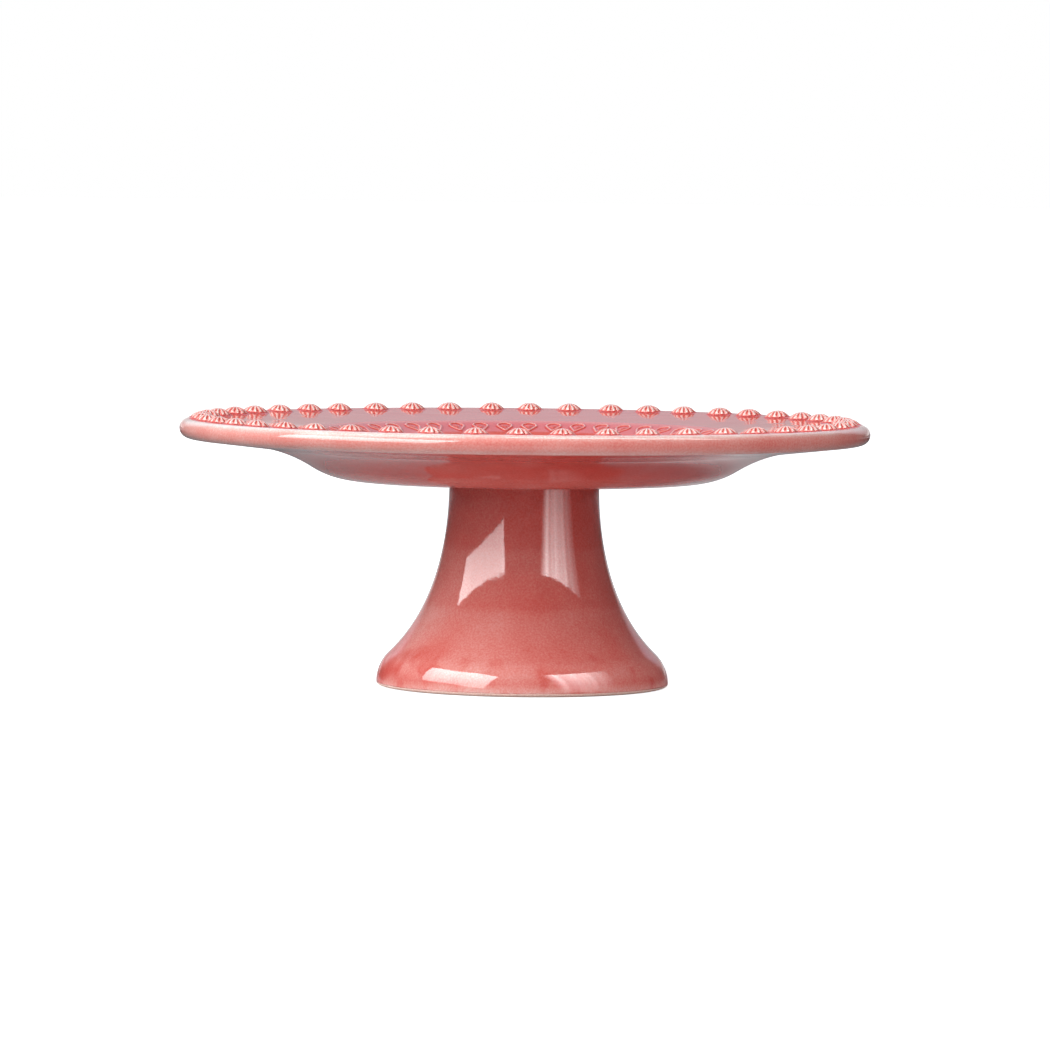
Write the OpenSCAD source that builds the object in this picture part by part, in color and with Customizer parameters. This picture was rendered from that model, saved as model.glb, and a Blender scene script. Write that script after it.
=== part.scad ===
// Footed cake stand: a broad coved plate with a rolled lip, a ring of fluted beads on the
// rim and a ring of raised drops on the cove, standing on a hollow bell-shaped pedestal.
// The origin is the centre of the standing edge, +Z up, in millimetres.

/* [Plate] */
// Outer diameter of the plate at its rolled lip
plate_d = 290; // [250:1:320]
// Height of the lip's crest above the table
lip_crest_z = 111.7; // [105:0.1:120]
// Radius of the rolled lip's rounded edge
lip_roll_r = 4.05; // [3:0.05:5]
// Inward fall of the rim's top, in degrees
rim_fall = 4.3; // [2:0.1:8]
// Radius at which the rim turns down into the cove
shoulder_r = 93; // [88:0.5:100]
// Slope of the decorated upper cove, in degrees
cove_slope = 18.5; // [12:0.5:26]
// Slope of the lower cove down to the well, in degrees
well_slope = 38; // [30:1:50]
// Height of the flat well floor
well_z = 96.8; // [95:0.1:98.5]
// Height of the flat underside that the pedestal joins
base_z = 86.4; // [84:0.1:88]
// Radius at which the flat underside starts to curve up
base_r = 71; // [66:0.5:76]
// Steepest slope of the underside, in degrees
under_slope = 32; // [28:1:40]
// Slope of the rim's underside out to the lip, in degrees
under_rise = 6.5; // [5:0.5:10]

/* [Beads] */
// Number of beads round the rim
bead_count = 48; // [40:1:50]
// Radius of the circle that the beads sit on
bead_ring_r = 135.5; // [133:0.1:136]
// Diameter of a bead at its base
bead_d = 11.4; // [9:0.1:12]
// Height of a bead above the rim, at its middle
bead_h = 2.95; // [2:0.05:4]
// Number of flutes pressed into each bead
flute_count = 12; // [8:1:16]
// Radius of the tool mark that forms a flute
flute_r = 0.5; // [0.3:0.05:0.7]
// Turn of the whole bead ring from the back, in degrees
bead_turn = -1; // [-3.5:0.1:3.5]
// How far a hand-set bead strays from even spacing, in degrees
bead_stray = 0.25; // [0:0.05:0.5]

/* [Drops] */
// Number of raised drops round the cove
drop_count = 50; // [40:1:54]
// Width of a drop at its round end
drop_w = 6.8; // [5:0.1:7.5]
// Length of a drop along the slope, from its point to its round end
drop_l = 9.8; // [8:0.1:10]
// Radius at which the points of the drops lie
drop_tip_r = 78.8; // [78.4:0.1:80]
// Width of the raised outline
drop_line = 1; // [0.6:0.1:1.4]
// Height of the relief above the cove
relief_h = 0.5; // [0.3:0.05:0.8]
// Turn of the whole drop ring from the back, in degrees
drop_turn = -1.2; // [-3.5:0.1:3.5]

/* [Pedestal] */
// Outer radius of the straight neck
neck_r = 31.5; // [28:0.5:36]
// Height at which the neck starts to flare
flare_z = 85; // [76:1:85]
// Outer radius of the pedestal at its toe
toe_r = 61.4; // [56:0.1:66]
// Radius of the toe's rounded shoulder
toe_round = 17.5; // [14:0.5:20]
// Angle that the toe's round turns through, in degrees
toe_angle = 46; // [40:0.5:50]
// Thickness of the pedestal wall
wall = 6.5; // [5:0.1:8]

/* [Standing edge] */
// Height of the bare standing edge
foot_h = 2.8; // [2:0.1:4]
// Width of the flat ring that touches the table
foot_flat = 3; // [2:0.1:4]
// How far the standing edge rolls in under the toe
foot_tuck = 3.6; // [2.5:0.1:4]

/* [Hidden] */
// Points along each rounded stretch of an outline
arc_steps = 8;
flare_steps = 18;
$fn = 96;

// Rolled lip
lip_r = plate_d / 2 - lip_roll_r;
lip_z = lip_crest_z - lip_roll_r;

// Curves of the plate's top side
shoulder_round = 20;
brow_round = 14;
well_round = 8;
rim_edge = [lip_r - lip_roll_r * sin(rim_fall), lip_z + lip_roll_r * cos(rim_fall)];
shoulder = [shoulder_r, rim_edge.y - (rim_edge.x - shoulder_r) * tan(rim_fall)];
cove_top = curve_end(shoulder, shoulder_round, rim_fall, cove_slope);
brow_r = 78.2;
brow = [brow_r, cove_top.y - (cove_top.x - brow_r) * tan(cove_slope)];
well_top = curve_end(brow, brow_round, cove_slope, well_slope);
well_edge_z = well_z + well_round * (1 - cos(well_slope));
well_edge_r = well_top.x - (well_top.y - well_edge_z) / tan(well_slope);
well_r = well_edge_r - well_round * sin(well_slope);

// Curves of the plate's underside
under_round = 35;
under_cove_round = 60;
under_run = 0.2;

// Beads
bead_round = (pow(bead_d / 2, 2) + pow(bead_h, 2)) / (2 * bead_h);
bead_top_z = rim_z(bead_ring_r) + bead_h;
bead_names = [for (i = [1 : bead_count]) str("bead_", i < 10 ? "0" : "", i)];

// Drops
drop_round = drop_w / 2;

// Pedestal
seam_gap = 0.8;
neck_z = base_z - seam_gap;
toe_centre = [toe_r - toe_round, foot_h];
toe_top = toe_centre + toe_round * [cos(toe_angle), sin(toe_angle)];
flare_pull_top = 25;
flare_pull_low = 26;
flare_path = [
    [neck_r, flare_z],
    [neck_r, flare_z - flare_pull_top],
    toe_top + flare_pull_low * [-sin(toe_angle), cos(toe_angle)],
    toe_top
];

// Height of the rim's top at radius r
function rim_z(r) = rim_edge.y - (rim_edge.x - r) * tan(rim_fall);

// Height of the decorated cove at radius r
function cove_z(r) = cove_top.y - (cove_top.x - r) * tan(cove_slope);

// Points of an arc about a centre, from angle a to angle b
function arc(centre, radius, a, b, steps = arc_steps) =
    [for (i = [0 : steps]) centre + radius * [cos(a + (b - a) * i / steps), sin(a + (b - a) * i / steps)]];

// Inward and downward curve that starts at a point with slope a and steepens to slope b
function curve_end(start, radius, a, b) =
    start + radius * [sin(a) - sin(b), cos(b) - cos(a)];

// Point at parameter t on a cubic curve through four control points
function cubic(p, t) =
    pow(1 - t, 3) * p[0] + 3 * t * pow(1 - t, 2) * p[1] + 3 * t * t * (1 - t) * p[2] + pow(t, 3) * p[3];

// Unit normal to the left of the way from one point to another
function left_of(from, to) = [from.y - to.y, to.x - from.x] / norm(to - from);

// Top side of the plate, from the middle of the well out to the lip
function plate_top() = concat(
    [[0, well_z]],
    arc([well_r, well_z + well_round], well_round, -90, well_slope - 90),
    arc(well_top - brow_round * [-sin(well_slope), cos(well_slope)], brow_round,
        90 + well_slope, 90 + cove_slope),
    arc(cove_top - shoulder_round * [-sin(cove_slope), cos(cove_slope)], shoulder_round,
        90 + cove_slope, 90 + rim_fall)
);

// Underside of the plate, from the lip in to the middle of the base
function plate_under() =
    let (
        bend = [base_r, base_z + under_round],
        rise_start = bend + under_round * [sin(under_slope), -cos(under_slope)],
        rise_end = rise_start + under_run * [cos(under_slope), sin(under_slope)],
        cove = rise_end + under_cove_round * [sin(under_slope), -cos(under_slope)]
    )
    concat(
        arc(cove, under_cove_round, 90 + under_rise, 90 + under_slope),
        arc(bend, under_round, under_slope - 90, -90),
        [[0, base_z]]
    );

// Outer side of the pedestal, from the toe up to the top of the neck
function pedestal_outer() = concat(
    arc(toe_centre, toe_round, 0, toe_angle),
    [for (i = [1 : flare_steps]) cubic(flare_path, 1 - i / flare_steps)],
    [[neck_r, neck_z]]
);

// Inner side of the pedestal, one wall thickness inside the outer, from the neck down
function pedestal_inner() =
    let (outer = pedestal_outer(), last = len(outer) - 1)
    [for (i = [last : -1 : 0])
        i == last ? outer[i] - [wall, 0]
        : i == 0 ? outer[i] - [wall, 0]
        : outer[i] + wall * left_of(outer[i - 1], outer[i + 1])];

module plate() {
    color([0.80, 0.42, 0.39])
        rotate_extrude()
            polygon(concat(
                plate_top(),
                arc([lip_r, lip_z], lip_roll_r, 90 + rim_fall, under_rise - 90, 3 * arc_steps),
                plate_under()
            ));
}

// One drop outline, drawn in by a margin, with its point at the origin and its round end
// along +X
module drop_shape(margin) {
    radius = drop_round - margin;
    reach = (drop_l - drop_round) * radius / drop_round;
    lean = acos(radius / reach);
    translate([drop_l - drop_round, 0]) {
        circle(r = radius);
        polygon([
            [-reach, 0],
            radius * [-cos(lean), -sin(lean)],
            [0, 0],
            radius * [-cos(lean), sin(lean)]
        ]);
    }
}

// Raised outlines with a small drop inside each, laid up the slope of the cove with their
// points towards the middle of the plate
module drop_relief() {
    // Lifts a flat drop so that its sides just touch the hollow cone of the cove
    seat_lift = pow(drop_round, 2) * sin(cove_slope) / (2 * drop_tip_r);
    color([0.96, 0.80, 0.78])
        for (i = [0 : drop_count - 1])
            rotate([0, 0, 90 + drop_turn + i * 360 / drop_count])
                translate([drop_tip_r, 0, cove_z(drop_tip_r) + seat_lift])
                    rotate([0, -cove_slope, 0])
                        linear_extrude(relief_h) {
                            difference() {
                                drop_shape(0);
                                drop_shape(drop_line);
                            }
                            drop_shape(2 * drop_line);
                        }
}

// Fluted bead: a low dome with tool marks from its base almost to its crown, seated on
// the slope of the rim
module bead(index) {
    flute_low = 8;
    flute_sweep = 62;
    seat_r = 20;
    angle = 90 + bead_turn + (index - 1) * 360 / bead_count + bead_stray * sin(index * 137);
    color([0.93, 0.78, 0.74])
        difference() {
            rotate([0, 0, angle])
                translate([bead_ring_r, 0, bead_top_z - bead_round])
                    difference() {
                        intersection() {
                            sphere(r = bead_round);
                            cylinder(h = bead_round, d = bead_d);
                        }
                        for (i = [0 : flute_count - 1])
                            rotate([0, 0, i * 360 / flute_count])
                                rotate([90, 0, 0])
                                    rotate([0, 0, flute_low])
                                        rotate_extrude(angle = flute_sweep)
                                            translate([bead_round, 0])
                                                circle(r = flute_r, $fn = 24);
                    }
            rotate_extrude()
                polygon([
                    [bead_ring_r - seat_r, rim_z(bead_ring_r - seat_r)],
                    [bead_ring_r - seat_r, base_z],
                    [bead_ring_r + seat_r, base_z],
                    [bead_ring_r + seat_r, rim_z(bead_ring_r + seat_r)]
                ]);
        }
}

// Slip that bonds the pedestal to the plate, with its fillet inside the neck
module joint_seam() {
    fillet = 2;
    bore_r = neck_r - wall;
    color([0.86, 0.78, 0.70])
        rotate_extrude()
            polygon(concat(
                [[neck_r - 0.2, base_z], [neck_r - 0.2, neck_z], [bore_r, neck_z]],
                arc([bore_r - fillet, base_z - fillet], fillet, 0, 90)
            ));
}

module pedestal() {
    color([0.78, 0.37, 0.34])
        rotate_extrude()
            polygon(concat(pedestal_outer(), pedestal_inner()));
}

// Bare clay standing edge, wiped clean of glaze
module foot_ring() {
    inner_r = toe_r - wall;
    flat_r = toe_r - foot_tuck;
    color([0.93, 0.88, 0.80])
        rotate_extrude()
            polygon(concat(
                [for (i = [0 : arc_steps])
                    [flat_r + foot_tuck * cos(90 * i / arc_steps), foot_h - foot_h * sin(90 * i / arc_steps)]],
                [[flat_r - foot_flat, 0], [inner_r, 1], [inner_r, foot_h]]
            ));
}

plate();
drop_relief();
joint_seam();
pedestal();
foot_ring();
for (i = [1 : bead_count])
    bead(i);
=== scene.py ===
import math

import bpy
import numpy as np
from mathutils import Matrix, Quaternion, Vector


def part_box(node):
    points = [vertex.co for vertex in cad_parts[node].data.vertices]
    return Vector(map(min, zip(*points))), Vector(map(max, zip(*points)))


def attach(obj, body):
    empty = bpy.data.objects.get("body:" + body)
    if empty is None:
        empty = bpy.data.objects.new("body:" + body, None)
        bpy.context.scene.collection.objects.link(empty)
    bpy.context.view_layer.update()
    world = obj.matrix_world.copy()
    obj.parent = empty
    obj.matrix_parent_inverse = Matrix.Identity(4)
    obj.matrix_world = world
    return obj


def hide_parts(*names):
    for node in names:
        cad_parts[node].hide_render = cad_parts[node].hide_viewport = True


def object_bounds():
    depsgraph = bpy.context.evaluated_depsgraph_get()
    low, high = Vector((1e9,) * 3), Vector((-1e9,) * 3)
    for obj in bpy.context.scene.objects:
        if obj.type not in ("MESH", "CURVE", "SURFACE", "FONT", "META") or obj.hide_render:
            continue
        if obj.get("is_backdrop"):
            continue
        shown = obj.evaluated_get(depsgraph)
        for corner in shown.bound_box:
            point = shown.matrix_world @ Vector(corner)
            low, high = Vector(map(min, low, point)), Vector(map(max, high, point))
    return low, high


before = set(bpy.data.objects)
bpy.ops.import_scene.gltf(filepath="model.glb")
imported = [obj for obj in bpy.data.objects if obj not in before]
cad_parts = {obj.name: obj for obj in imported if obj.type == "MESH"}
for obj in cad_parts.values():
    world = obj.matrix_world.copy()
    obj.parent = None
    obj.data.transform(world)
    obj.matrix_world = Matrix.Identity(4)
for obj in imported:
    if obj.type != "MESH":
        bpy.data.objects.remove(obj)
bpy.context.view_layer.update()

# Shapes are worked out in millimetres and turned into metres when a mesh is made
MM = 0.001
BODY = "root"
rng = np.random.default_rng(7)

# ---- Sizes of the clay, from the frame and from the pattern that the potter turned ----

plate_low, plate_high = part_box("plate")
pedestal_low, pedestal_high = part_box("pedestal")
PLATE_R = plate_high.x / MM
CREST_Z = plate_high.z / MM
BASE_Z = plate_low.z / MM
TOE_R = pedestal_high.x / MM
NECK_Z = pedestal_high.z / MM

LIP_ROLL = 4.05
RIM_FALL = math.radians(4.3)
SHOULDER_R = 93.0
SHOULDER_ROUND = 20.0
COVE_SLOPE = math.radians(18.5)
BROW_R = 78.2
BROW_ROUND = 14.0
WELL_SLOPE = math.radians(38.0)
WELL_ROUND = 8.0
WELL_Z = 96.8
UNDER_RISE = math.radians(6.5)
UNDER_SLOPE = math.radians(32.0)
UNDER_ROUND = 35.0
UNDER_COVE_ROUND = 60.0
UNDER_RUN = 0.2
BASE_R = 71.0

NECK_R = 31.5
FLARE_Z = 85.0
FLARE_PULL_TOP = 25.0
FLARE_PULL_LOW = 26.0
TOE_ROUND = 17.5
GLAZE_Z = 1.5
TOE_ANGLE = math.radians(46.0)
WALL = 6.5
FOOT_FLAT = 3.0
FOOT_TUCK = 3.6

# A bead's cap, the pool of glaze at its foot, and the skirt that goes under the rim's surface
BEAD_R = 5.7
CAP_R = 5.2
POOL_R = 5.6
SKIRT_R = 7.0
FLUTES = 12
FLUTE_CUT = 0.42
FLUTE_SHARP = 1.9

DROPS = 50
DROP_W = 7.2
DROP_L = 9.8
TIP_ROUND = 0.9
DROP_TIP_R = 78.8
DROP_TURN = math.radians(-1.2)

# The ridge round a drop and the small drop inside it, each so far in from the outline
RIDGE_IN = 0.55
RIDGE_W = 0.46
RIDGE_H = 0.46
PAD_IN = 2.25
PAD_SOFT = 0.25
PAD_H = 0.24
BAND_LOW_R = DROP_TIP_R - 1.8
BAND_HIGH_R = 89.8
BAND_FADE = 0.9
BAND_SKIN = 0.09

# How far the trim's edges go under the surface that it sits on
DIP = 0.06

# Unevenness of the fired ware: height of its sag, and share that it shrinks by
SAG = 0.05
SHRINK = 0.0004

# Depth of glaze, from 0 where the clay shows through to 1 in a deep pool
ON_RIB = 0.03
ON_RIDGE = 0.16
ON_PAD_EDGE = 0.30
ON_FACE = 0.60
IN_FLUTE = 0.68
IN_POOL = 0.95


# ---- Curves in the (radius, height) plane ----

def arc(centre, radius, start, end, steps=10):
    """Points on a circle round a centre, from one angle to another in radians."""
    t = np.linspace(start, end, steps + 1)
    return np.column_stack([centre[0] + radius * np.cos(t), centre[1] + radius * np.sin(t)])


def line(start, end, steps):
    """Evenly spaced points on a straight line."""
    t = np.linspace(0.0, 1.0, steps + 1)[:, None]
    return np.array(start) * (1 - t) + np.array(end) * t


def cubic(points, steps):
    """Cubic curve through the first and last of four control points: the sum of each point
    times its Bernstein weight."""
    t = np.linspace(0.0, 1.0, steps + 1)[:, None]
    a, b, c, d = (np.array(p) for p in points)
    return (1 - t) ** 3 * a + 3 * t * (1 - t) ** 2 * b + 3 * t * t * (1 - t) * c + t**3 * d


def normal_below(slope):
    """Unit vector into the clay from a surface that rises outwards at a slope."""
    return np.array([math.sin(slope), -math.cos(slope)])


def smoothstep(low, high, x):
    """0 below low, 1 above high, and the cubic 3t^2 - 2t^3 between."""
    t = np.clip((x - low) / (high - low), 0.0, 1.0)
    return t * t * (3 - 2 * t)


def join(stretches, blur):
    """One outline from stretches of (points, glaze depth). The depth is averaged along the
    outline with a Gaussian weight of that width, so the glaze grades from one to the next."""
    points = [np.asarray(stretches[0][0])]
    depth = [np.full(len(points[0]), stretches[0][1])]
    for more, value in stretches[1:]:
        points.append(np.asarray(more)[1:])
        depth.append(np.full(len(more) - 1, value))
    points = np.vstack(points)
    depth = np.concatenate(depth)
    run = np.concatenate([[0.0], np.cumsum(np.linalg.norm(np.diff(points, axis=0), axis=1))])
    step = np.gradient(run)
    weight = np.exp(-((run[:, None] - run[None, :]) / blur) ** 2) * step[None, :]
    return points, weight @ depth / weight.sum(axis=1)


def plate_outline():
    """Section of the plate from the middle of the well, out over the lip and back under to
    the middle of the base: arcs joined by the straight lines that touch them."""
    lip = np.array([PLATE_R - LIP_ROLL, CREST_Z - LIP_ROLL])
    rim_edge = lip + LIP_ROLL * np.array([-math.sin(RIM_FALL), math.cos(RIM_FALL)])
    shoulder = np.array([SHOULDER_R, rim_edge[1] - (rim_edge[0] - SHOULDER_R) * math.tan(RIM_FALL)])
    shoulder_mid = shoulder + SHOULDER_ROUND * normal_below(RIM_FALL)
    cove_top = shoulder_mid - SHOULDER_ROUND * normal_below(COVE_SLOPE)
    brow = np.array([BROW_R, cove_top[1] - (cove_top[0] - BROW_R) * math.tan(COVE_SLOPE)])
    brow_mid = brow + BROW_ROUND * normal_below(COVE_SLOPE)
    well_top = brow_mid - BROW_ROUND * normal_below(WELL_SLOPE)
    edge_z = WELL_Z + WELL_ROUND * (1 - math.cos(WELL_SLOPE))
    edge_r = well_top[0] - (well_top[1] - edge_z) / math.tan(WELL_SLOPE)
    well_mid = np.array([edge_r - WELL_ROUND * math.sin(WELL_SLOPE), WELL_Z + WELL_ROUND])
    bend = np.array([BASE_R, BASE_Z + UNDER_ROUND])
    rise = bend + UNDER_ROUND * normal_below(UNDER_SLOPE)
    rise_end = rise + UNDER_RUN * np.array([math.cos(UNDER_SLOPE), math.sin(UNDER_SLOPE)])
    cove = rise_end + UNDER_COVE_ROUND * normal_below(UNDER_SLOPE)
    quarter = math.pi / 2
    lip_under = lip + LIP_ROLL * normal_below(UNDER_RISE)
    cove_edge = cove - UNDER_COVE_ROUND * normal_below(UNDER_RISE)
    crest = arc(lip, LIP_ROLL, quarter + RIM_FALL, quarter / 2, 14)
    edge = arc(lip, LIP_ROLL, quarter / 2, UNDER_RISE - quarter, 26)
    turned_under = 9
    return join([
        (line((0.0, WELL_Z), (well_mid[0], WELL_Z), 30), 0.64),
        (arc(well_mid, WELL_ROUND, -quarter, WELL_SLOPE - quarter, 10), 0.80),
        (line((edge_r, edge_z), well_top, 4), 0.66),
        (arc(brow_mid, BROW_ROUND, quarter + WELL_SLOPE, quarter + COVE_SLOPE, 8), 0.60),
        (line(brow, cove_top, 12), 0.70),
        (arc(shoulder_mid, SHOULDER_ROUND, quarter + COVE_SLOPE, quarter + RIM_FALL, 8), 0.50),
        (line(shoulder, rim_edge, 34), 0.56),
        # Glaze almost gone on the crest: partly real thinning over the roll, partly a painted
        # highlight along the crest
        (crest, 0.01),
        (edge[:-turned_under], 0.34),
        (edge[-turned_under:], 0.14),
        (line(lip_under, cove_edge, 24), 0.66),
        (arc(cove, UNDER_COVE_ROUND, quarter + UNDER_RISE, quarter + UNDER_SLOPE, 14), 0.72),
        (line(rise_end, rise, 2), 0.64),
        (arc(bend, UNDER_ROUND, UNDER_SLOPE - quarter, -quarter, 14), 0.56),
        (line((BASE_R, BASE_Z), (0.0, BASE_Z), 30), 0.66),
    ], 1.6)


PLATE, PLATE_GLAZE = plate_outline()
TOP_COUNT = int(np.argmax(PLATE[:, 0]))


def plate_top(r):
    """Height of the plate's top side at a radius, read off its section."""
    return np.interp(r, PLATE[:TOP_COUNT, 0], PLATE[:TOP_COUNT, 1])


def plate_depth(r):
    """Depth of glaze on the plate's top side at a radius, read off its section."""
    return np.interp(r, PLATE[:TOP_COUNT, 0], PLATE_GLAZE[:TOP_COUNT])


def pedestal_outline():
    """Section of the pedestal, down its outer side and up its inner side: a straight neck, a
    cubic flare, a round toe, and the same curve one wall thickness further in. A band of
    thicker glaze goes round low on the toe."""
    toe = np.array([TOE_R - TOE_ROUND, GLAZE_Z])
    toe_top = toe + TOE_ROUND * np.array([math.cos(TOE_ANGLE), math.sin(TOE_ANGLE)])
    pull = toe_top + FLARE_PULL_LOW * np.array([-math.sin(TOE_ANGLE), math.cos(TOE_ANGLE)])
    neck = line((NECK_R, NECK_Z), (NECK_R, FLARE_Z), 2)
    flare = cubic([(NECK_R, FLARE_Z), (NECK_R, FLARE_Z - FLARE_PULL_TOP), pull, toe_top], 72)
    round_toe = arc(toe, TOE_ROUND, TOE_ANGLE, 0.0, 24)
    outer = np.vstack([neck, flare[1:], round_toe[1:]])
    along = np.gradient(outer, axis=0)
    inward = np.column_stack([along[:, 1], -along[:, 0]])
    inward /= np.linalg.norm(inward, axis=1)[:, None]
    inner = outer + WALL * inward
    inner[0] = outer[0] - [WALL, 0]
    inner[-1] = outer[-1] - [WALL, 0]
    third = len(flare) // 3
    band_top, band_low = 9, 6
    return join([
        (neck, 0.58),
        (flare[:third + 1], 0.57),
        (flare[third:2 * third + 1], 0.47),
        (flare[2 * third:], 0.38),
        (round_toe[:-band_top], 0.32),
        (round_toe[-band_top:-band_low], 0.47),
        (round_toe[-band_low:], 0.25),
        (line(outer[-1], inner[-1], 4), 0.14),
        (inner[::-1], 0.62),
        (line(inner[0], outer[0], 4), 0.70),
    ], 1.8)


def foot_outline():
    """Section of the bare standing edge: a quarter of an ellipse under the toe, a flat ring
    that stands on the table, and a bevel up to the inner wall."""
    t = np.linspace(0.0, math.pi / 2, 13)
    flat_r = TOE_R - FOOT_TUCK
    outer = np.column_stack([flat_r + FOOT_TUCK * np.cos(t), GLAZE_Z * (1 - np.sin(t))])
    inner_r = TOE_R - WALL
    bevel_z = 1.0
    return join([
        (outer, 0.0),
        (line((flat_r, 0.0), (flat_r - FOOT_FLAT, 0.0), 4), 0.0),
        (line((flat_r - FOOT_FLAT, 0.0), (inner_r, bevel_z), 1), 0.0),
        (line((inner_r, bevel_z), (inner_r, GLAZE_Z), 2), 0.0),
        (line((inner_r, GLAZE_Z), (TOE_R, GLAZE_Z), 6), 0.0),
    ], 1.0)


# ---- Making meshes ----

def settle(points):
    """Slight unevenness of fired clay: the clay shrinks by a hair, and the plate sags by up to
    a fifth of a millimetre in two soft waves round its edge."""
    x, y, z = points[:, 0], points[:, 1], points[:, 2]
    turn = np.arctan2(y, x)
    reach = np.clip(np.hypot(x, y) / PLATE_R, 0.0, 1.0)
    sag = SAG * (2.0 + np.sin(2 * turn + 0.7) + np.sin(3 * turn + 2.1)) * reach**2
    shrink = 1.0 - SHRINK * (1.0 + np.sin(3 * turn + 0.4) * np.sin(z / 21.0))
    return np.column_stack([x * shrink, y * shrink, z - sag * z / CREST_Z])


def piece(name, points, quads, triangles, depth, material, nodes):
    """A finished piece: its mesh in metres with smooth faces and the glaze depth of each point,
    riding on the stand and standing for its CAD nodes."""
    mesh = bpy.data.meshes.new(name)
    faces = [tuple(f) for f in quads.tolist()] + [tuple(f) for f in triangles.tolist()]
    mesh.from_pydata((settle(points) * MM).tolist(), [], faces)
    mesh.polygons.foreach_set("use_smooth", np.ones(len(faces), bool))
    layer = mesh.attributes.new("glaze", "FLOAT", "POINT")
    layer.data.foreach_set("value", np.asarray(depth, np.float32))
    mesh.materials.append(material)
    mesh.update()
    made = bpy.data.objects.new(name, mesh)
    bpy.context.scene.collection.objects.link(made)
    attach(made, BODY)
    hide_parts(*nodes)
    return made


def grid_faces(turns, rows, closed_rows=False):
    """Quads of a grid whose point (turn, row) has the number turn * rows + row. Turns wrap
    round; rows wrap too when the section is a closed loop."""
    last = rows if closed_rows else rows - 1
    t, i = np.meshgrid(np.arange(turns), np.arange(last), indexing="ij")
    u, j = (t + 1) % turns, (i + 1) % rows
    return np.stack([t * rows + i, t * rows + j, u * rows + j, u * rows + i], axis=-1).reshape(-1, 4)


def pole_caps(turns, rows):
    """Triangles that close a grid's first and last rows on two poles, which are the points that
    follow the grid's own."""
    top = turns * rows
    first = np.arange(turns) * rows
    after = np.roll(first, -1)
    return np.vstack([
        np.column_stack([np.full(turns, top), first, after]),
        np.column_stack([np.full(turns, top + 1), after + rows - 1, first + rows - 1]),
    ])


def revolve(outline, depth, turns, lean=0.0):
    """Surface of revolution: a section point (r, z) at turn t goes to (r cos t, r sin t, z).
    Sections that end on the axis get one point at each pole, and others close on themselves.
    Lean cos t is added to the glaze depth, which paints shade: the side at turn 0, on the right away
    from the key light, comes out darker."""
    poles = outline[0, 0] == 0.0
    ring = outline[1:-1] if poles else outline[:-1]
    ring_depth = depth[1:-1] if poles else depth[:-1]
    t = np.linspace(0.0, 2 * math.pi, turns, endpoint=False)
    x = np.outer(np.cos(t), ring[:, 0]).ravel()
    y = np.outer(np.sin(t), ring[:, 0]).ravel()
    z = np.tile(ring[:, 1], turns)
    points = np.column_stack([x, y, z])
    # painted shade: lean cos t deepens the glaze and so darkens the right side, away from the key
    # light
    depths = np.tile(ring_depth, turns) + lean * np.repeat(np.cos(t), len(ring))
    rows = len(ring)
    quads = grid_faces(turns, rows, closed_rows=not poles)
    if not poles:
        return points, quads, np.zeros((0, 3), int), depths
    points = np.vstack([points, [0.0, 0.0, outline[0, 1]], [0.0, 0.0, outline[-1, 1]]])
    return points, quads, pole_caps(turns, rows), np.concatenate([depths, [depth[0], depth[-1]]])


# ---- The plate's trim ----

def bead_surface(centre, top_z, phase, size):
    """One fluted bead. Rings of growing radius p and turns t: the height above the rim is a
    sphere's cap, less flutes that are the 12-lobed wave (1 - cos 12t)/2 to a power, faded out
    towards the crown. Past the foot of the cap the height falls away exponentially, which is
    the glaze pooled round it, and then dips just under the rim."""
    rim_z = plate_top(np.hypot(*centre))
    below_cad = 0.04
    crown_h = top_z - rim_z - below_cad
    ball = (BEAD_R**2 + crown_h**2) / (2 * crown_h)
    join_h = math.sqrt(ball**2 - CAP_R**2) - (ball - crown_h)
    fall = join_h * math.sqrt(ball**2 - CAP_R**2) / CAP_R
    p = np.concatenate([np.linspace(0.25, CAP_R, 19), np.linspace(CAP_R, SKIRT_R, 11)[1:]])
    turns = 8 * FLUTES
    t = np.linspace(0.0, 2 * math.pi, turns, endpoint=False)
    cap = np.sqrt(np.maximum(ball**2 - p**2, 0.0)) - (ball - crown_h)
    skirt = join_h * np.exp(-(p - CAP_R) / fall)
    settled = smoothstep(POOL_R, SKIRT_R, p)
    height = np.where(p <= CAP_R, cap, skirt) * (1 - settled) - DIP * settled
    groove = ((1 - np.cos(FLUTES * t + phase)) / 2) ** FLUTE_SHARP
    reach = smoothstep(0.9, 3.0, p) * (1 - smoothstep(5.1, 5.9, p))
    cut = np.outer(groove, reach)
    h = height[None, :] - FLUTE_CUT * cut
    x = centre[0] + size * np.outer(np.cos(t), p)
    y = centre[1] + size * np.outer(np.sin(t), p)
    radius = np.hypot(x, y)
    z = plate_top(radius) + h
    on_bead = ON_RIB + (IN_FLUTE - ON_RIB) * np.clip(1.25 * cut, 0.0, 1.0) ** 0.8
    on_bead = on_bead + 0.12 * np.exp(-((p / 1.2) ** 2))[None, :]
    pool = smoothstep(CAP_R - 0.2, POOL_R, p)[None, :]
    fade = settled[None, :]
    depth = on_bead * (1 - pool) + IN_POOL * pool
    depth = depth * (1 - fade) + plate_depth(radius) * fade
    rows = len(p)
    points = np.column_stack([x.ravel(), y.ravel(), z.ravel()])
    crown = [centre[0], centre[1], rim_z + crown_h]
    heel = [centre[0], centre[1], rim_z - 0.6]
    depths = np.concatenate([depth.ravel(), [depth[:, 0].mean(), ON_FACE]])
    return np.vstack([points, crown, heel]), grid_faces(turns, rows), pole_caps(turns, rows), depths


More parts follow.
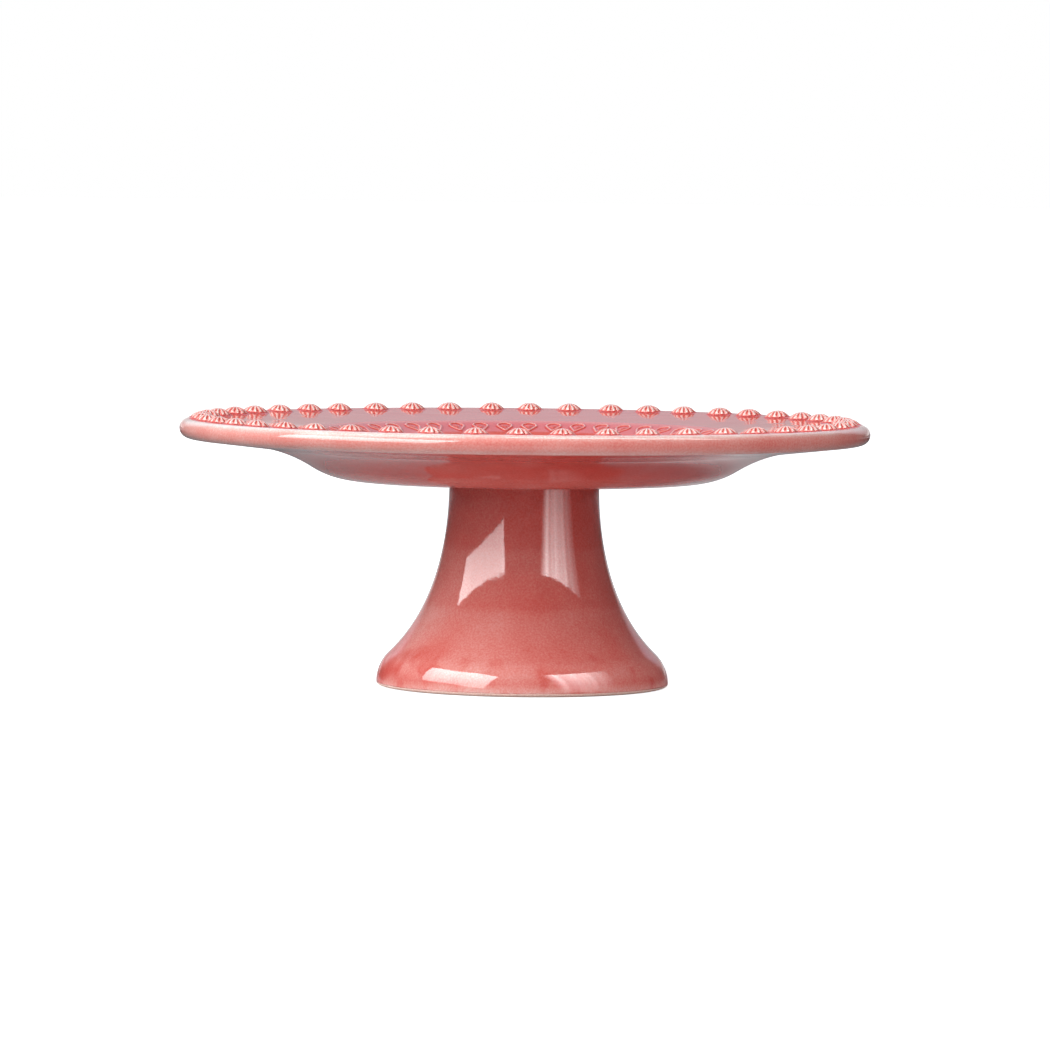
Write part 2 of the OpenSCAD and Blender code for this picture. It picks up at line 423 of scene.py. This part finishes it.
def drop_distance(x, y):
    """Signed distance to a drop's outline, negative inside: to its straight side up to the
    point where the side touches the round end, and to the round end past it. The drop is a
    smaller one grown by the radius of its blunt tip."""
    x = x - TIP_ROUND
    y = np.abs(y)
    radius = DROP_W / 2 - TIP_ROUND
    reach = DROP_L - DROP_W / 2 - TIP_ROUND
    lean = math.asin(radius / reach)
    along = x * math.cos(lean) + y * math.sin(lean)
    off_side = -x * math.sin(lean) + y * math.cos(lean)
    off_round = np.hypot(x - reach, y) - radius
    off_tip = np.hypot(x, y)
    past_side = np.where(along < reach * math.cos(lean), off_side, off_round)
    return np.where(along < 0, off_tip, past_side) - TIP_ROUND


def relief_surface():
    """The decorated band of the cove, as a closed skin over the plate. Columns run round the
    band and rows up the slope. Its height is a Gaussian ridge along the outline of each drop
    and a low pad for the small drop inside, and both edges dip just under the plate. Glaze
    thins on the ridges and deepens beside them."""
    columns = 40 * DROPS
    rows = 38
    t = np.linspace(0.0, 2 * math.pi, columns, endpoint=False)
    r = np.linspace(BAND_LOW_R, BAND_HIGH_R, rows)
    pitch = 2 * math.pi / DROPS
    start = math.pi / 2 + DROP_TURN
    off = (t - start + pitch / 2) % pitch - pitch / 2
    x = np.broadcast_to((r - DROP_TIP_R) / math.cos(COVE_SLOPE), (columns, rows))
    y = np.outer(off, r)
    d = drop_distance(x, y)
    ridge = np.exp(-(((d + RIDGE_IN) / RIDGE_W) ** 2))
    pad = smoothstep(PAD_IN - PAD_SOFT, PAD_IN + PAD_SOFT, -d)
    rim = np.exp(-(((d + PAD_IN) / 0.3) ** 2))
    edge = smoothstep(BAND_LOW_R, BAND_LOW_R + BAND_FADE, r)
    edge = edge * (1 - smoothstep(BAND_HIGH_R - BAND_FADE, BAND_HIGH_R, r))
    height = BAND_SKIN * edge - DIP + RIDGE_H * ridge + PAD_H * pad
    base = plate_depth(r)[None, :]
    well = smoothstep(0.3, 0.9, -d) * (1 - pad)
    halo = np.exp(-(((d - 0.1) / 0.5) ** 2)) * (d > -0.5)
    depth = base + 0.28 * halo + 0.2 * well
    depth = depth * (1 - ridge) + ON_RIDGE * ridge
    depth = depth * (1 - 0.6 * rim) + ON_PAD_EDGE * 0.6 * rim
    fade = edge[None, :]
    depth = depth * fade + base * (1 - fade)
    z = plate_top(r)[None, :] + height
    px = np.outer(np.cos(t), r)
    py = np.outer(np.sin(t), r)
    points = np.column_stack([px.ravel(), py.ravel(), z.ravel()])
    quads = grid_faces(columns, rows)
    first = np.arange(columns) * rows
    after = np.roll(first, -1)
    under = np.column_stack([first, after, after + rows - 1, first + rows - 1])
    return points, np.vstack([quads, under]), np.zeros((0, 3), int), depth.ravel()


# ---- Glaze and clay ----

def wire(tree, source, target):
    """Joins an output socket to an input socket."""
    tree.links.new(source, target)


def node(tree, kind, **settings):
    """Adds a shader node and sets its properties."""
    made = tree.nodes.new(kind)
    for key, value in settings.items():
        setattr(made, key, value)
    return made


def blank_material(name):
    """A new material with only its shader. Gives the material, its tree, the shader, and the
    piece's own coordinates."""
    material = bpy.data.materials.new(name)
    material.use_nodes = True
    tree = material.node_tree
    tree.nodes.clear()
    out = node(tree, "ShaderNodeOutputMaterial")
    shader = node(tree, "ShaderNodeBsdfPrincipled")
    wire(tree, shader.outputs["BSDF"], out.inputs["Surface"])
    coords = node(tree, "ShaderNodeTexCoord").outputs["Object"]
    return material, tree, shader, coords


def axes(tree, coords):
    """The separate X, Y and Z of a set of coordinates."""
    made = node(tree, "ShaderNodeSeparateXYZ")
    wire(tree, coords, made.inputs[0])
    return made.outputs["X"], made.outputs["Y"], made.outputs["Z"]


def size_of(tree, source):
    """A value without its sign."""
    made = node(tree, "ShaderNodeMath", operation="ABSOLUTE")
    wire(tree, source, made.inputs[0])
    return made.outputs[0]


def bump(tree, height, distance, under=None):
    """A surface that rises and falls with a value, on top of an earlier one if given."""
    made = node(tree, "ShaderNodeBump")
    made.inputs["Distance"].default_value = distance
    wire(tree, height, made.inputs["Height"])
    if under is not None:
        wire(tree, under.outputs["Normal"], made.inputs["Normal"])
    return made


def noise(tree, coords, scale, detail, roughness=0.5):
    """Noise over a set of coordinates."""
    made = node(tree, "ShaderNodeTexNoise")
    made.inputs["Scale"].default_value = scale
    made.inputs["Detail"].default_value = detail
    made.inputs["Roughness"].default_value = roughness
    wire(tree, coords, made.inputs["Vector"])
    return made.outputs["Fac"]


def spread(tree, source, low, high, to_low, to_high):
    """Maps a value from one range to another, clamped."""
    made = node(tree, "ShaderNodeMapRange")
    for key, value in (("From Min", low), ("From Max", high), ("To Min", to_low), ("To Max", to_high)):
        made.inputs[key].default_value = value
    wire(tree, source, made.inputs["Value"])
    return made.outputs["Result"]


def add(tree, a, b):
    """Sum of two values."""
    made = node(tree, "ShaderNodeMath", operation="ADD")
    wire(tree, a, made.inputs[0])
    wire(tree, b, made.inputs[1])
    return made.outputs[0]


def multiply(tree, a, b):
    """Product of two values."""
    made = node(tree, "ShaderNodeMath", operation="MULTIPLY")
    wire(tree, a, made.inputs[0])
    wire(tree, b, made.inputs[1])
    return made.outputs[0]


def colours(tree, source, stops):
    """A ramp of greys and tints over a value, from (position, colour) stops."""
    made = node(tree, "ShaderNodeValToRGB")
    while len(made.color_ramp.elements) < len(stops):
        made.color_ramp.elements.new(0.5)
    for element, (position, colour) in zip(made.color_ramp.elements, stops):
        element.position = position
        element.color = (*colour, 1.0)
    wire(tree, source, made.inputs["Fac"])
    return made.outputs["Color"]


def blend(tree, factor, a, b):
    """Mixes two colours."""
    made = node(tree, "ShaderNodeMix", data_type="RGBA")
    wire(tree, factor, made.inputs["Factor"])
    sockets = [i for i in made.inputs if i.type == "RGBA"]
    wire(tree, a, sockets[0])
    wire(tree, b, sockets[1])
    return [o for o in made.outputs if o.type == "RGBA"][0]


def glaze_colour(depth):
    """Coral glaze over pale clay: the clay's colour times exp(-k depth), with a k for each of
    red, green and blue."""
    clay = np.array([0.85, 0.74, 0.70])
    k = np.array([0.50, 3.20, 3.45])
    return clay * np.exp(-k * depth)


def glaze_material(name):
    """Glossy translucent glaze whose colour follows its depth. To the depth of the mesh are
    added soft clouds, fine grain, runs low on the pedestal, and lumps on the left of its toe.
    The surface has a slow wave, most on the rim, and a faint peel that is calmer under the
    plate."""
    material, tree, shader, coords = blank_material(name)
    across, _, height = axes(tree, coords)
    depth = node(tree, "ShaderNodeAttribute", attribute_name="glaze").outputs["Fac"]
    cloud = spread(tree, noise(tree, coords, 45.0, 3.0), 0.3, 0.7, -0.05, 0.05)
    grain = spread(tree, noise(tree, coords, 1300.0, 3.0, 0.6), 0.3, 0.7, -0.08, 0.08)
    low = spread(tree, height, 0.024, 0.008, 0.0, 1.0)
    runs = spread(tree, noise(tree, coords, 95.0, 2.0), 0.54, 0.72, 0.0, 0.16)
    pooled = multiply(tree, low, runs)
    left_side = spread(tree, across, -0.024, -0.052, 0.0, 1.0)
    lumps = spread(tree, noise(tree, coords, 85.0, 1.0), 0.42, 0.60, 0.14, 0.40)
    pooled = add(tree, pooled, multiply(tree, multiply(tree, low, left_side), lumps))
    mixed = add(tree, add(tree, add(tree, depth, cloud), grain), pooled)
    stops = [(float(stop), glaze_colour(stop)) for stop in np.linspace(0.0, 1.0, 9)]
    wire(tree, colours(tree, mixed, stops), shader.inputs["Base Color"])
    gloss = spread(tree, noise(tree, coords, 90.0, 3.0), 0.3, 0.7, 0.035, 0.075)
    wire(tree, gloss, shader.inputs["Roughness"])
    shader.inputs["IOR"].default_value = 1.65
    wave = bump(tree, noise(tree, coords, 70.0, 1.0), 0.0004)
    on_rim = spread(tree, height, 0.1085, 0.1100, 0.04, 0.6)
    wire(tree, on_rim, wave.inputs["Strength"])
    peel = bump(tree, noise(tree, coords, 260.0, 2.0), 0.0002, wave)
    over_neck = spread(tree, height, 0.080, 0.086, 0.0, 1.0)
    below_rim = spread(tree, height, 0.1095, 0.1080, 0.0, 1.0)
    under_plate = multiply(tree, over_neck, below_rim)
    wire(tree, spread(tree, under_plate, 0.0, 1.0, 0.12, 0.01), peel.inputs["Strength"])
    wire(tree, peel.outputs["Normal"], shader.inputs["Normal"])
    return material


def clay_material(name, colour, dark):
    """Bare fired clay: matt, with sandy grain in its colour, its gloss and its surface."""
    material, tree, shader, coords = blank_material(name)
    sand = noise(tree, coords, 1400.0, 4.0, 0.65)
    wire(tree, colours(tree, sand, [(0.3, dark), (0.62, colour)]), shader.inputs["Base Color"])
    wire(tree, spread(tree, sand, 0.3, 0.7, 0.62, 0.9), shader.inputs["Roughness"])
    grit = bump(tree, sand, 0.0002)
    grit.inputs["Strength"].default_value = 0.5
    wire(tree, grit.outputs["Normal"], shader.inputs["Normal"])
    return material


glaze = glaze_material("coral_glaze")
bare_clay = clay_material("bare_stoneware", (0.90, 0.68, 0.60), (0.74, 0.48, 0.40))
slip = clay_material("fired_slip", (0.70, 0.58, 0.47), (0.50, 0.38, 0.29))

# ---- The stand ----

# The lean of 0.05 is painted shade: deeper glaze darkens the plate's right side, away from the key
# light
points, quads, caps, depth = revolve(PLATE, PLATE_GLAZE, 384, 0.05)
piece("glazed_plate", points, quads, caps, depth, glaze, ["plate"])

section, section_depth = pedestal_outline()
# The lean of 0.08 is painted shade: deeper glaze darkens the pedestal's right side, away from the key
# light
points, quads, caps, depth = revolve(section, section_depth, 256, 0.08)
pedestal = piece("glazed_pedestal", points, quads, caps, depth, glaze, ["pedestal"])

section, section_depth = foot_outline()
points, quads, caps, depth = revolve(section, section_depth, 256)
piece("bare_foot_ring", points, quads, caps, depth, bare_clay, ["foot_ring"])

points, quads, caps, depth = relief_surface()
piece("drop_band", points, quads, caps, depth, glaze, ["drop_relief"])

for bead_node in sorted(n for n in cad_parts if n.startswith("bead_")):
    low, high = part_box(bead_node)
    middle = np.array([low.x + high.x, low.y + high.y]) / (2 * MM)
    points, quads, caps, depth = bead_surface(
        middle, high.z / MM, rng.uniform(0, 2 * math.pi), rng.uniform(0.97, 1.0))
    piece("sprig_" + bead_node, points, quads, caps, depth, glaze, [bead_node])

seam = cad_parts["joint_seam"]
seam.data.materials.clear()
seam.data.materials.append(slip)

# ---- Studio ----

def floor_plane():
    """A wide flat table top in a pale matt finish. Seen directly it is lit up to plain white,
    and in reflections it is a grey that darkens to both sides."""
    mesh = bpy.data.meshes.new("table_top")
    reach = 30.0
    corners = [(-reach, -reach, 0), (reach, -reach, 0), (reach, reach, 0), (-reach, reach, 0)]
    mesh.from_pydata(corners, [], [(0, 1, 2, 3)])
    made = bpy.data.objects.new("table_top", mesh)
    bpy.context.scene.collection.objects.link(made)
    material = bpy.data.materials.new("pale_table")
    material.use_nodes = True
    tree = material.node_tree
    shader = tree.nodes["Principled BSDF"]
    shader.inputs["Roughness"].default_value = 0.9
    shader.inputs["Specular IOR Level"].default_value = 0.1
    shader.inputs["Emission Color"].default_value = (1.0, 1.0, 1.0, 1.0)
    across, back, _ = axes(tree, node(tree, "ShaderNodeTexCoord").outputs["Object"])
    aside = size_of(tree, across)
    paper = colours(tree, spread(tree, across, -0.5, 0.5, 0.0, 1.0), [
        (0.05, (0.07, 0.07, 0.075)),
        (0.32, (0.20, 0.20, 0.205)),
        (0.46, (0.64, 0.64, 0.65)),
        (0.60, (0.64, 0.64, 0.65)),
        (0.70, (0.26, 0.26, 0.265)),
        (0.95, (0.07, 0.07, 0.075)),
    ])
    beyond = colours(tree, spread(tree, aside, 1.0, 2.0, 0.0, 1.0), [
        (0.0, (0.70, 0.70, 0.71)),
        (1.0, (0.30, 0.30, 0.31)),
    ])
    paper = blend(tree, spread(tree, back, 1.5, 1.8, 0.0, 1.0), paper, beyond)
    wire(tree, paper, shader.inputs["Base Color"])
    glow = spread(tree, aside, 0.08, 0.16, 0.92, 1.0)
    seen = node(tree, "ShaderNodeLightPath").outputs["Is Camera Ray"]
    wire(tree, multiply(tree, seen, glow), shader.inputs["Emission Strength"])
    mesh.materials.append(material)
    made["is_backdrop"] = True


def way_to(azimuth, elevation):
    """Unit vector from the stand at an azimuth from the camera's side, positive to the right,
    and an elevation above the table, both in degrees."""
    a, e = math.radians(azimuth), math.radians(elevation)
    return Vector((math.sin(a) * math.cos(e), -math.cos(a) * math.cos(e), math.sin(e)))


def face(made, way):
    """Turns a light or a camera to look along a vector."""
    made.rotation_mode = "QUATERNION"
    made.rotation_quaternion = way.to_track_quat("-Z", "Y")


def softbox(name, azimuth, elevation, distance, size, power,
            soft, low_end, cut, crease, use="both", only=None):
    """A rectangular soft light that faces the stand. Its cloth dims smoothly over the first and
    last shares of its width, and from its upper part down to low_end at its lower edge. A
    flap across its lower corner rises by cut of its height over its width, and upright folds
    in the cloth vary it by crease. Its use is matt, gloss or both, so it can be left out of
    the matt colour or out of the reflections, and it may be kept to one piece."""
    aim = Vector((0.0, 0.0, 0.07))
    place = aim + distance * way_to(azimuth, elevation)
    light = bpy.data.lights.new(name, "AREA")
    light.shape = "RECTANGLE"
    light.size, light.size_y = size
    light.energy = power
    light.use_nodes = True
    tree = light.node_tree
    across, up, _ = axes(tree, node(tree, "ShaderNodeNewGeometry").outputs["Parametric"])
    shade = spread(tree, across, 0.0, soft[0], 0.0, 1.0)
    shade = multiply(tree, shade, spread(tree, across, 1.0, 1.0 - soft[1], 0.0, 1.0))
    shade = multiply(tree, shade, spread(tree, up, 0.0, 0.8, low_end, 1.1))
    fold = node(tree, "ShaderNodeCombineXYZ")
    wire(tree, across, fold.inputs["X"])
    folds = noise(tree, fold.outputs[0], 9.0, 1.0)
    shade = multiply(tree, shade, spread(tree, folds, 0.3, 0.7, 1.0 - crease, 1.0 + crease))
    flap = spread(tree, across, 0.0, 1.0, -cut, 0.0)
    shade = multiply(tree, shade, spread(tree, add(tree, up, flap), -0.005, 0.005, 0.0, 1.0))
    wire(tree, shade, tree.nodes["Emission"].inputs["Strength"])
    made = bpy.data.objects.new(name, light)
    made.location = place
    face(made, aim - place)
    made.visible_camera = False
    made.visible_diffuse = use != "gloss"
    made.visible_glossy = use != "matt"
    if only is not None:
        lit = bpy.data.collections.new(name + "_lights")
        lit.objects.link(only)
        made.light_linking.receiver_collection = lit
    bpy.context.scene.collection.objects.link(made)


def overhead(azimuth, elevation, strength, spread_angle):
    """A broad even light from above, the same all over the table."""
    light = bpy.data.lights.new("overhead", "SUN")
    light.energy = strength
    light.angle = math.radians(spread_angle)
    made = bpy.data.objects.new("overhead", light)
    face(made, -way_to(azimuth, elevation))
    bpy.context.scene.collection.objects.link(made)


def room():
    """Soft room light: a cool wall behind the stand, bright low down and again higher up, and
    a dim room elsewhere that is a little brighter on the left and behind the camera.
    Seen directly, it is plain white."""
    world = bpy.data.worlds.new("studio")
    world.use_nodes = True
    tree = world.node_tree
    background = tree.nodes["Background"]
    across, back, up = axes(tree, node(tree, "ShaderNodeTexCoord").outputs["Generated"])
    widen = spread(tree, up, 0.02, 0.20, 0.0, -0.12)
    widen = add(tree, widen, spread(tree, up, 0.30, 0.50, 0.0, 0.12))
    narrow = spread(tree, add(tree, size_of(tree, across), widen), 0.40, 0.28, 0.0, 1.0)
    behind = colours(tree, up, [
        (0.00, (1.00, 1.00, 1.00)),
        (0.08, (0.52, 0.48, 0.50)),
        (0.63, (0.76, 0.78, 1.00)),
        (0.74, (0.14, 0.14, 0.16)),
    ])
    around = colours(tree, up, [
        (0.00, (0.14, 0.14, 0.14)),
        (0.03, (0.10, 0.10, 0.10)),
        (1.00, (0.12, 0.12, 0.12)),
    ])
    left = colours(tree, up, [
        (0.00, (0.14, 0.14, 0.14)),
        (0.03, (0.10, 0.10, 0.10)),
        (0.20, (0.12, 0.12, 0.12)),
        (0.36, (0.26, 0.26, 0.26)),
        (1.00, (0.20, 0.20, 0.20)),
    ])
    around = blend(tree, spread(tree, across, -0.2, -0.5, 0.0, 1.0), around, left)
    front = colours(tree, up, [
        (0.00, (0.17, 0.17, 0.17)),
        (1.00, (0.20, 0.20, 0.20)),
    ])
    wall = multiply(tree, narrow, spread(tree, back, 0.0, 0.2, 0.0, 1.0))
    light = blend(tree, wall, around, behind)
    light = blend(tree, spread(tree, back, -0.5, -0.1, 0.0, 1.0), front, light)
    plain = colours(tree, up, [(0.0, (1.0, 1.0, 1.0)), (1.0, (1.0, 1.0, 1.0))])
    seen = node(tree, "ShaderNodeLightPath").outputs["Is Camera Ray"]
    wire(tree, blend(tree, seen, light, plain), background.inputs["Color"])
    bpy.context.scene.world = world


def camera():
    """Long lens a little above the plate, aimed at the middle of the stand and rolled slightly."""
    aside = 0.0005
    place = Vector((aside, -2.70, 0.221))
    aim = Vector((aside, 0.0, 0.0678))
    roll = Quaternion((0, 0, 1), math.radians(0.65))
    lens = bpy.data.cameras.new("camera")
    lens.lens = 220.6
    lens.sensor_width = 36.0
    lens.clip_end = 100.0
    made = bpy.data.objects.new("camera", lens)
    made.location = place
    face(made, aim - place)
    made.rotation_quaternion = made.rotation_quaternion @ roll
    bpy.context.scene.collection.objects.link(made)
    bpy.context.scene.camera = made


floor_plane()
room()

# The left light does both, and its sheen adds gloss. The right card lights the matt colour
# only, and its sheen is mirrored by the pedestal only
ON_LEFT = dict(azimuth=-58, elevation=26, size=(1.7, 1.03), soft=(0.02, 0.02), low_end=0.4,
               cut=0.24, crease=0.06)
ON_RIGHT = dict(azimuth=52, elevation=23, size=(0.83, 0.85), soft=(0.15, 0.5), low_end=0.2, cut=0.0)
softbox("left_softbox", distance=1.5, power=38, **ON_LEFT)
softbox("left_sheen", distance=1.49, power=7, use="gloss", **ON_LEFT)
softbox("right_card", distance=0.85, power=7, crease=0.2, use="matt", **ON_RIGHT)
softbox("right_sheen", distance=0.84, power=17, crease=0.4, use="gloss", only=pedestal, **ON_RIGHT)
softbox("top_sheen", azimuth=85, elevation=70, distance=1.4, size=(0.35, 1.2), power=9,
        soft=(0.3, 0.3), low_end=0.5, cut=0.0, crease=0.0, use="gloss")
overhead(azimuth=-100, elevation=62, strength=0.8, spread_angle=36)
camera()
bpy.context.scene.view_settings.view_transform = "Standard"

low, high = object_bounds()
